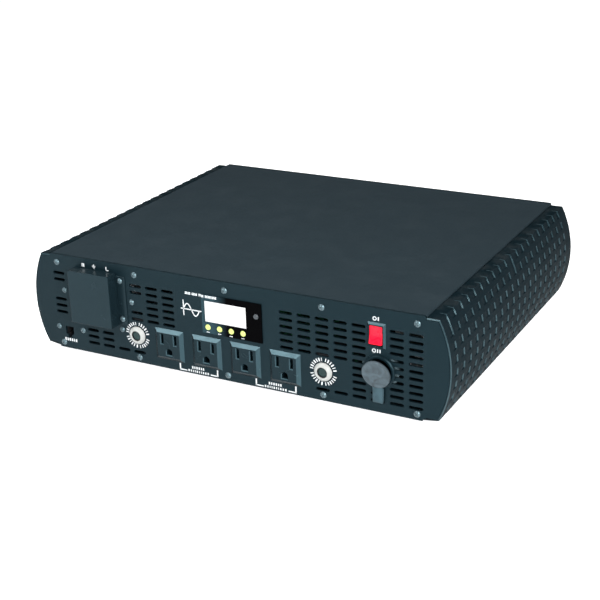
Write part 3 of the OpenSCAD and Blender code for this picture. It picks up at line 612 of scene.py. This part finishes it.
def buildSideCover(name, node, sign):
    low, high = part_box(node)
    startY, endY = low.y - 0.2 * mm, high.y + 0.2 * mm
    depth = endY - startY
    chamfer, lipWall, sideWall = sideCover["chamfer"], sideCover["lipWall"], sideCover["sideWall"]
    lines = [0.0, chamfer, depth - chamfer, depth]
    walls = [0.0]
    for column in range(sideCover["columns"]):
        lip = sideCover["firstLip"] + column * sideCover["pitch"]
        first = lip - sideCover["pocketLength"]
        lines += [first, lip - lipWall, lip - sideCover["shoulderWall"], lip]
        walls += [lip - lipWall, lip - sideCover["shoulderWall"]]
        lines += [first + (lip - lipWall - first) * t for t in (0.25, 0.5, 0.75)]
    yLines = breakpoints(lines)
    length = section["length"]
    pitch = length / sideCover["rows"]
    shoulder = section["innerX"] - section["edgeX"]
    sLines = [shoulder, -8 * mm, -3 * mm, -1.5 * mm, -0.35 * mm, 0.0, 0.35 * mm, 1.5 * mm, 3 * mm]
    for row in range(sideCover["rows"]):
        for column in (1, 2):
            span = rowSpan(row, column)
            if span:
                sLines += [span[0], span[0] + sideWall, span[1] - sideWall, span[1]]
        sLines += [row * pitch + t * pitch for t in (0.2, 0.4, 0.7, 0.85)]
    lowLength = (Vector((section["edgeX"] - 172.3 * mm, 1.6 * mm))).length
    sLines += [length, length - 0.4 * mm, length + 0.4 * mm, length + lowLength]
    sLines = breakpoints(sLines)
    verts, faces = [], []
    columns = len(sLines)

    def place(y, s, inward):
        point, direction = sectionPoint(s)
        spot = point + direction * inward
        return Vector((sign * spot.x, startY + y, spot.y))

    for y in yLines:
        for s in sLines:
            ends = min(y, depth - y)
            inward = chamfer * 0.85 * (1 - ends / chamfer) if ends < chamfer else pressDepth(y, s)
            verts.append(place(y, s, inward))
    edgeFaces = []
    for i in range(len(yLines) - 1):
        onEdge = min(abs(yLines[i] - wall) for wall in walls) < 0.03 * mm
        for j in range(columns - 1):
            a = i * columns + j
            quad = [a, a + 1, a + columns + 1, a + columns]
            raised = onEdge and (i == 0 or max(pressDepth(yLines[i], s) for s in sLines[j:j + 2]) > 0.1 * mm)
            (edgeFaces if raised else faces).append(quad)
    # Inner skin: thin at the two rims, full thickness between
    rim, step = sideCover["rimDepth"], 0.05 * mm
    innerLines = [(0.0, "rimWall"), (rim, "rimWall"), (rim + step, "wall"),
                  (depth - rim - step, "wall"), (depth - rim, "rimWall"), (depth, "rimWall")]
    innerStart = len(verts)
    for y, wall in innerLines:
        for s in sLines:
            verts.append(place(y, s, sideCover[wall]))
    for i in range(len(innerLines) - 1):
        for j in range(columns - 1):
            a = innerStart + i * columns + j
            faces.append([a, a + columns, a + columns + 1, a + 1])
    last = (len(yLines) - 1) * columns
    innerLast = innerStart + (len(innerLines) - 1) * columns
    for j in range(columns - 1):
        faces.append([j, innerStart + j, innerStart + j + 1, j + 1])
        faces.append([last + j, last + j + 1, innerLast + j + 1, innerLast + j])
    for j in (0, columns - 1):
        outer = [i * columns + j for i in range(len(yLines))]
        inner = [innerStart + i * columns + j for i in range(len(innerLines))]
        faces.append(outer + inner[::-1])
    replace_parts(makePiece(name, verts, faces, "housing", "side_paint", smoothAngle=24), node)
    # Lip walls and the front chamfer become a separate piece in the lighter paint, a painted highlight along
    # each lip
    used = sorted({i for quad in edgeFaces for i in quad})
    newIndex = {old: new for new, old in enumerate(used)}
    edgeVerts = [verts[i] for i in used]
    edgeQuads = [[newIndex[i] for i in quad] for quad in edgeFaces]
    edges = makePiece(name + "Edges", edgeVerts, edgeQuads, "housing", "side_paint",
                      smoothAngle=24, material=lipHighlightMaterial)
    for polygon in edges.data.polygons:      # every lip wall faces the front
        if polygon.normal.y > 0:
            polygon.flip()


buildSideCover("sideCoverRight", "side_cover_right", 1)
buildSideCover("sideCoverLeft", "side_cover_left", -1)
print("stage: side covers pressed")


# Folded sheet: rounded bends along both sides, cut edges at the front and the rear
def buildTopCover():
    cover = {"bend": 1.5 * mm, "steps": 6, "lip": 0.25 * mm}
    half, bend = topHigh.x, cover["bend"]
    outline = [(-half, topLow.z), (half, topLow.z)]
    for i in range(cover["steps"] + 1):
        angle = math.radians(90 * i / cover["steps"])
        outline.append((half - bend + bend * math.cos(angle), topHigh.z - bend + bend * math.sin(angle)))
    for i in range(cover["steps"] + 1):
        angle = math.radians(90 + 90 * i / cover["steps"])
        outline.append((-half + bend + bend * math.cos(angle), topHigh.z - bend + bend * math.sin(angle)))
    count = len(outline)
    verts = [Vector((x, y, z)) for y in (topLow.y, topHigh.y) for x, z in outline]
    faces = [list(range(count)), list(range(2 * count - 1, count - 1, -1))]
    faces += [[i, count + i, count + (i + 1) % count, (i + 1) % count] for i in range(count)]
    piece = makePiece("topCover", verts, faces, "housing", "top_paint", 30, cover["lip"], 2)
    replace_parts(piece, "top_cover")


buildTopCover()


def buildTerminalCover():
    cover = {"wall": 0.8 * mm, "bend": 0.9 * mm, "flange": 9.5 * mm, "flangeInset": 2 * mm}
    low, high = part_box("terminal_cover")
    right = high.x - cover["flange"]
    wall = cover["wall"]
    outer = [(low.x, low.z), (right, low.z), (right, high.z), (low.x, high.z)]
    inner = [(low.x + wall, low.z + wall), (right - wall, low.z + wall),
             (right - wall, high.z - wall), (low.x + wall, high.z - wall)]
    reach = frontY - low.y
    verts = [onFront(x, z, 0.02 * mm) for x, z in outer] + [onFront(x, z, reach) for x, z in outer]
    verts += [onFront(x, z, 0.02 * mm) for x, z in inner] + [onFront(x, z, reach - wall) for x, z in inner]
    faces = [[4, 5, 6, 7], [12, 13, 14, 15]]
    for i in range(4):
        j = (i + 1) % 4
        faces += [[i, j, 4 + j, 4 + i], [8 + i, 8 + j, 12 + j, 12 + i], [i, j, 8 + j, 8 + i]]
    box = makePiece("terminalCoverBox", verts, faces, "housing", "case_paint",
                    40, cover["bend"], 4, coverMaterial)
    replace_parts(box, "terminal_cover")
    verts, faces = [], []
    inset = cover["flangeInset"]
    addPrism(verts, faces, rectPoints((right + high.x) / 2 - 0.2 * mm, (low.z + high.z) / 2,
             cover["flange"] + 0.4 * mm, high.z - low.z - 2 * inset), 0.02 * mm, wall)
    flange = makePiece("terminalCoverFlange", verts, faces, "housing", "case_paint",
                       40, 0.3 * mm, 3, coverMaterial)
    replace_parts(flange, "terminal_cover")


buildTerminalCover()
print("stage: covers built")


def buildBreakers():
    nut = {"radius": 7.8 * mm, "out": 3.2 * mm, "hole": 4.5 * mm, "lip": 0.35 * mm, "base": 1.1 * mm}
    button = {"radius": 4.0 * mm, "out": 1.6 * mm, "long": 14.0 * mm, "dish": 0.35 * mm}
    for side in ("left", "right"):
        spot = centreOf("breaker_nut_" + side)
        r, out, hole, base = nut["radius"], nut["out"], nut["hole"], nut["base"]
        profile = [(hole + 1.1 * mm, 0), (r - 0.2 * mm, 0), (r, 0.2 * mm), (r, base),
                   (r - 0.1 * mm, base + 0.12 * mm), (r - 0.5 * mm, base + 0.2 * mm),
                   (r - 0.55 * mm, base + 0.5 * mm)]
        profile += [(hole + 1.0 * mm + (r - 1.6 * mm - hole) * (1 - t),
                     base + 0.6 * mm + (out - base - 0.75 * mm) * math.sin(t * 1.45))
                    for t in (0.0, 0.25, 0.5, 0.75, 1.0)]
        profile += arcProfile(hole + nut["lip"] + 0.1 * mm, out - nut["lip"], nut["lip"], 90, 180, 5)
        profile += [(hole, 2.2 * mm), (hole + 1.1 * mm, 2.2 * mm), (hole + 1.1 * mm, 0)]
        piece = turned("breakerNut_" + side, spot.x, spot.z, profile, "housing", "white_plastic", 72, 28)
        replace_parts(piece, "breaker_nut_" + side)
        r, out = button["radius"], button["out"]
        profile = [(0, -button["long"]), (r, -button["long"])]
        profile += arcProfile(r - 0.5 * mm, out - 0.5 * mm, 0.5 * mm, 0, 90, 5)
        profile += [(r * 0.6, out - 0.1 * mm), (r * 0.3, out - button["dish"]),
                    (0, out - button["dish"] * 1.2)]
        piece = turned("resetButton_" + side, spot.x, spot.z, profile, "reset_" + side,
                       "button_plastic", 48, 40)
        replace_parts(piece, "breaker_button_" + side)


buildBreakers()


def buildRocker():
    rocker = {"width": 10.6 * mm, "half": 7.3 * mm, "tilt": -8.5, "dip": 1.0 * mm, "end": 4.8 * mm,
              "edge": 0.55 * mm, "pivot": 2.2 * mm}
    spot = centreOf("switch_housing")
    pivot = Vector((spot.x, frontY + rocker["pivot"], caseZ + 64.6 * mm))
    half, end, dip = rocker["half"], rocker["end"], rocker["dip"]
    face = []
    for i in range(9):
        t = -1 + i / 4
        face.append((-(end - dip * (1 - abs(t)) ** 1.2), t * half))
    outline = face + [(-1 * mm, half), (2.5 * mm, 4 * mm), (2.5 * mm, -4 * mm), (-1 * mm, -half)]
    turn = Matrix.Rotation(math.radians(rocker["tilt"]), 3, "X")
    count = len(outline)
    side = rocker["width"] / 2
    verts = [pivot + turn @ Vector((x, y, z)) for x in (-side, side) for y, z in outline]
    faces = [list(range(count)), list(range(2 * count - 1, count - 1, -1))]
    faces += [[i, count + i, count + (i + 1) % count, (i + 1) % count] for i in range(count)]
    piece = makePiece("rockerKey", verts, faces, "rocker", "red_plastic", 40, rocker["edge"], 3)
    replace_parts(piece, "switch_rocker")


buildRocker()


capDims = {"radius": 11.8 * mm, "thick": 2.4 * mm, "back": 2.1 * mm, "plugRadius": 9.6 * mm,
           "plugLength": 1.6 * mm, "edge": 0.8 * mm, "rimWidth": 1.5 * mm,
           "open": 10.0, "hingeOut": 2.2 * mm, "hingeRise": 21.9 * mm,
           "strapWidth": 8.4 * mm, "strapThick": 1.4 * mm, "strapTop": 21.1 * mm, "foldRise": 9.2 * mm}
socketSpot = centreOf("socket_shell")
capHinge = onFront(socketSpot.x, caseZ + capDims["hingeRise"], capDims["hingeOut"])
capSwing = Matrix.Rotation(math.radians(capDims["open"]), 4, "X")


def swingCap(point):
    return capHinge + capSwing @ (point - capHinge)


def buildCap():
    back, front = capDims["back"], capDims["back"] + capDims["thick"]
    r, plug, edge, rim = capDims["radius"], capDims["plugRadius"], capDims["edge"], capDims["rimWidth"]
    profile = [(0, back - capDims["plugLength"]), (plug - 0.4 * mm, back - capDims["plugLength"]),
               (plug, back - capDims["plugLength"] + 0.4 * mm), (plug, back),
               (r - 0.4 * mm, back), (r, back + 0.4 * mm)]
    profile += arcProfile(r - edge, front - edge, edge, 0, 90, 6)
    profile += [(r - rim, front), (r - rim - 0.4 * mm, front - 0.2 * mm),
                (r * 0.5, front - 0.12 * mm), (0, front - 0.1 * mm)]
    piece = turned("socketCap", socketSpot.x, socketSpot.z, profile, "cap", "cap_rubber", 96, 35, swingCap)
    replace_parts(piece, "socket_cap")


# Flat band from under the flange down the panel, folded back up in front of itself and into the cap's edge
def buildStrap():
    thick = capDims["strapThick"]
    low = caseZ + capDims["foldRise"] + thick
    top = capHinge.z
    inner, outer = thick / 2 + 0.15 * mm, thick * 1.5 + 0.55 * mm
    radius, middle = (outer - inner) / 2, (outer + inner) / 2
    start = caseZ + capDims["strapTop"]
    path = [(inner, start - i * (start - low) / 5) for i in range(5)]
    path += [(middle - radius * math.cos(math.radians(a)), low - radius * math.sin(math.radians(a)))
             for a in range(0, 181, 20)]
    path += [(outer, low + (i + 1) * (top - 3 * mm - low) / 5) for i in range(5)]
    tip = swingCap(onFront(socketSpot.x, top + 1.6 * mm, capDims["back"] + 0.5 * thick))
    tipOut = frontY - tip.y
    path += [(outer + (tipOut - outer) * t ** 1.6, top - 3 * mm + (tip.z - top + 3 * mm) * t)
             for t in (0.25, 0.5, 0.75, 1.0)]
    halfWidth, halfThick, corner = capDims["strapWidth"] / 2, thick / 2, 0.4 * mm
    ring = [(-halfWidth + corner, -halfThick), (halfWidth - corner, -halfThick),
            (halfWidth, -halfThick + corner), (halfWidth, halfThick - corner),
            (halfWidth - corner, halfThick), (-halfWidth + corner, halfThick),
            (-halfWidth, halfThick - corner), (-halfWidth, -halfThick + corner)]
    verts, faces = [], []
    for i, (out, z) in enumerate(path):
        before, after = path[max(i - 1, 0)], path[min(i + 1, len(path) - 1)]
        dx, dz = after[0] - before[0], after[1] - before[1]
        size = math.hypot(dx, dz)
        nx, nz = dz / size, -dx / size
        for across, through in ring:
            verts.append(onFront(socketSpot.x + across, z + nz * through, out + nx * through))
    sides, count = len(ring), len(path)
    for i in range(count - 1):
        for j in range(sides):
            k = (j + 1) % sides
            faces.append([i * sides + j, i * sides + k, (i + 1) * sides + k, (i + 1) * sides + j])
    faces += [list(range(sides)), list(range((count - 1) * sides, count * sides))]
    piece = makePiece("socketStrap", verts, faces, None, "cap_rubber", 50, material=strapMaterial)
    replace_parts(piece, "cap_strap")
    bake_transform(piece)


buildCap()
buildStrap()
print("stage: rubber cap and strap built")


ink = {"thick": 0.07 * mm, "sink": 0.02 * mm}
inkVerts, inkFaces = [], []


def printShape(outline, out=0.0):
    addPrism(inkVerts, inkFaces, outline, out - ink["sink"], out + ink["thick"])


def printStroke(points, width, out=0.0):
    printShape(strokeOutline([(x * mm, caseZ + z * mm) for x, z in points], width * mm), out)


# A line of small blocks that stands for a word or a rating
def printBlocks(x, z, widths, height, space=0.7, out=0.0):
    for width in widths:
        printShape(rectPoints((x + width / 2) * mm, caseZ + z * mm, width * mm, height * mm), out)
        x += width + space


def printRing(x, z, radius, width, count=28):
    for half in (0, 1):
        points = circlePoints(x, z, radius, count // 2, half * 180, half * 180 + 180)
        printStroke(points, width)


# Dial of small radial blocks round each breaker, in groups with gaps between
def printBreakerMarks(x, z):
    dial = {"inner": 9.0, "outer": 11.9,
            "groups": ((14, 78, 6), (98, 172, 7), (196, 246, 5), (262, 280, 2), (294, 344, 5)),
            "widths": (1.1, 0.85, 1.1, 0.65)}
    for first, last, marks in dial["groups"]:
        for i in range(marks):
            angle = math.radians(first + (last - first) * i / (marks - 1))
            ends = [(x + r * math.cos(angle), z + r * math.sin(angle))
                    for r in (dial["inner"], dial["outer"])]
            printStroke(ends, dial["widths"][(i + marks) % 4])


def printSineIcon():
    icon = {"axisX": -39.9, "top": 65.5, "bottom": 51.8, "middle": 57.7,
            "left": -42.6, "right": -22.6, "rise": 5.0, "pen": 0.9}
    printStroke([(icon["axisX"], icon["bottom"]), (icon["axisX"], icon["top"])], icon["pen"])
    printStroke([(icon["left"], icon["middle"]), (icon["right"], icon["middle"])], icon["pen"])
    span = icon["right"] - 2.0 - icon["axisX"]
    steps = 36
    curve = [(icon["axisX"] + span * i / steps,
              icon["middle"] + icon["rise"] * math.sin(2 * math.pi * i / steps)) for i in range(steps + 1)]
    printStroke(curve, icon["pen"])


# Open bracket under a pair of outlets, with two lines of blocks in its middle
def printBracket(left, right):
    pen = 1.25
    top, base = 7.4, 1.9
    middle = (left + right) / 2
    printStroke([(left, top), (left, base)], pen)
    printStroke([(left - pen / 2, base), (middle - 11.5, base)], pen * 0.8)
    printStroke([(right, top), (right, base)], pen)
    printStroke([(right + pen / 2, base), (middle + 11.5, base)], pen * 0.8)
    printBlocks(middle - 6.6, 5.6, (1.3, 1.0, 1.2, 1.3, 1.0, 1.2), 2.2, 0.95)
    printBlocks(middle - 10.4, 2.3, (1.3, 1.0, 0.7, 0.7, 1.2, 0.9, 0.7, 1.1, 1.2, 1.3), 2.0, 1.1)


def printEarthSign(x, z):
    printStroke([(x, z + 1.8), (x, z + 0.3)], 0.8)
    for i, half in enumerate((1.7, 1.1, 0.5)):
        printStroke([(x - half, z + 0.2 - i * 0.95), (x + half, z + 0.2 - i * 0.95)], 0.6)


def buildFrontPrint():
    for spot in ("left", "right"):
        centre = centreOf("breaker_nut_" + spot)
        printBreakerMarks(centre.x / mm, (centre.z - caseZ) / mm)
    printSineIcon()
    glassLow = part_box("display_window")[0]
    windowOut = frontY - glassLow.y
    x = -37.6
    for letters in (4, 4, 4, 8):
        for i in range(letters):
            printBlocks(x, 72.0, [0.95], 2.2, 0, windowOut if x * mm > glassLow.x - 1 * mm else 0.0)
            x += 1.37
        x += 1.1
    outlets = [centreOf("outlet_%d" % i).x / mm for i in (1, 2, 3, 4)]
    printBracket(outlets[0] + 9.2, outlets[1] + 9.0)
    printBracket(outlets[2] + 9.2, outlets[3] + 9.0)
    printBlocks(-140.9, 81.0, (0.8, 1.6), 3.0, 0.25)
    printEarthSign(-128.2, 81.2)
    printStroke([(-115.6, 82.6), (-115.6, 79.6), (-113.4, 79.6)], 1.0)
    printBlocks(-166.4, 8.3, (1.4, 1.2, 1.6, 1.3, 1.0, 1.3), 2.7, 1.0)
    switchX = centreOf("switch_housing").x / mm
    printRing(switchX - 1.6, 78.2, 1.35, 0.75)
    printStroke([(switchX + 1.5, 79.7), (switchX + 1.5, 76.7)], 1.0)
    printRing(switchX - 2.3, 51.6, 1.35, 0.75)
    printStroke([(switchX + 0.7, 53.1), (switchX + 0.7, 50.1)], 0.9)
    printStroke([(switchX + 2.7, 53.1), (switchX + 2.7, 50.1)], 0.9)
    for x in (-16.6, -5.6, 5.3, 16.3):
        printBlocks(x - 1.4, 41.0, (0.75, 0.65, 0.75), 0.75, 0.3, windowOut)
    makePiece("frontPrint", inkVerts, inkFaces, "housing", "white_plastic", material=inkMaterial)


buildFrontPrint()


def buildDisplay():
    lcd = {"frame": 0.7 * mm, "proud": 0.35 * mm}
    low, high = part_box("lcd_module")
    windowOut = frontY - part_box("display_window")[0].y
    glassX, glassZ = 0.6 * mm, caseZ + 59.3 * mm
    glassW, glassH = 39.4 * mm, 18.8 * mm
    verts, faces = [], []
    for x, z, w, h in ((glassX, glassZ + glassH / 2, glassW + 2 * lcd["frame"], lcd["frame"]),
                       (glassX, glassZ - glassH / 2, glassW + 2 * lcd["frame"], lcd["frame"]),
                       (glassX - glassW / 2, glassZ, lcd["frame"], glassH),
                       (glassX + glassW / 2, glassZ, lcd["frame"], glassH)):
        addPrism(verts, faces, rectPoints(x, z, w, h), windowOut - 0.02 * mm, windowOut + lcd["proud"])
    makePiece("screenFrame", verts, faces, "housing", "window_plastic")
    lampLow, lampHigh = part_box("status_lamps")
    lampR = 2.4 * mm
    pitch = (lampHigh.x - lampLow.x - 2 * lampR) / 3
    for i in range(4):
        profile = [(0, -4 * mm), (lampR, -4 * mm), (lampR, windowOut - 0.2 * mm)]
        profile += [(lampR * math.cos(math.radians(a)),
                     windowOut - 0.2 * mm + 1.0 * mm * math.sin(math.radians(a))) for a in (20, 40, 60, 75)]
        profile += [(0, windowOut + 0.8 * mm)]
        piece = turned("statusLamp_%d" % (i + 1), lampLow.x + lampR + i * pitch, (lampLow.z + lampHigh.z) / 2,
                       profile, "housing", "lamp_lens", 40, 50)
        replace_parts(piece, "status_lamps")


buildDisplay()
print("stage: printing and display built")


def buildStage():
    stage = {"size": 6.0, "colour": (0.60, 0.61, 0.62, 1), "glow": 0.84}
    half = stage["size"]
    mesh = bpy.data.meshes.new("floor")
    corners = [(-half, -half, 0), (half, -half, 0), (half, half, 0), (-half, half, 0)]
    mesh.from_pydata(corners, [], [(0, 1, 2, 3)])
    floor = bpy.data.objects.new("floor", mesh)
    bpy.context.scene.collection.objects.link(floor)
    material = bpy.data.materials.new("paleFloor")
    material.use_nodes = True
    shader = material.node_tree.nodes["Principled BSDF"]
    shader.inputs["Base Color"].default_value = stage["colour"]
    shader.inputs["Roughness"].default_value = 0.6
    shader.inputs["Emission Color"].default_value = (1, 1, 1, 1)
    shader.inputs["Emission Strength"].default_value = stage["glow"]
    mesh.materials.append(material)


def addSoftbox(name, place, target, size, power, tint=(1, 1, 1)):
    data = bpy.data.lights.new(name, "AREA")
    data.shape = "RECTANGLE"
    data.size, data.size_y = size
    data.energy = power
    data.color = tint
    light = bpy.data.objects.new(name, data)
    light.location = place
    light.rotation_euler = (Vector(target) - Vector(place)).to_track_quat("-Z", "Y").to_euler()
    bpy.context.scene.collection.objects.link(light)


def buildLights():
    addSoftbox("overhead", (0, 0.9, 3.0), (0, 0.9, 0), (6.0, 6.0), 48)
    addSoftbox("keyFrontLeft", (-0.56, -0.90, 0.72), (0, -0.158, 0.03), (0.40, 0.40), 12)
    addSoftbox("keyHigh", (-0.44, -0.34, 1.10), (0.13, -0.158, 0.07), (0.30, 0.50), 8)
    addSoftbox("rightFront", (1.04, -0.98, 0.60), (0.18, -0.1, 0.05), (0.70, 0.90), 42)
    world = bpy.data.worlds.new("studio")
    world.use_nodes = True
    world.node_tree.nodes["Background"].inputs["Color"].default_value = (0.94, 0.97, 1.0, 1)
    world.node_tree.nodes["Background"].inputs["Strength"].default_value = 0.08
    bpy.context.scene.world = world
    bpy.context.scene.view_settings.view_transform = "Standard"


def buildCamera():
    view = {"place": (515.1 * mm, frontY - 820.7 * mm, caseZ + 456.2 * mm), "pitch": 69.17, "yaw": 28.92,
            "roll": -1.86, "lens": 77.8, "shift": (0.015, -0.0357)}
    data = bpy.data.cameras.new("camera")
    data.lens = view["lens"]
    data.sensor_width = 36
    data.shift_x, data.shift_y = view["shift"]
    data.dof.use_dof = False
    data.clip_end = 50
    camera = bpy.data.objects.new("camera", data)
    turn = Euler((math.radians(view["pitch"]), 0, math.radians(view["yaw"]))).to_matrix()
    roll = Matrix.Rotation(math.radians(view["roll"]), 3, "Z")
    camera.matrix_world = Matrix.Translation(view["place"]) @ (turn @ roll).to_4x4()
    bpy.context.scene.collection.objects.link(camera)
    bpy.context.scene.camera = camera


buildStage()
buildLights()
buildCamera()
print("stage: floor, lights and camera set")
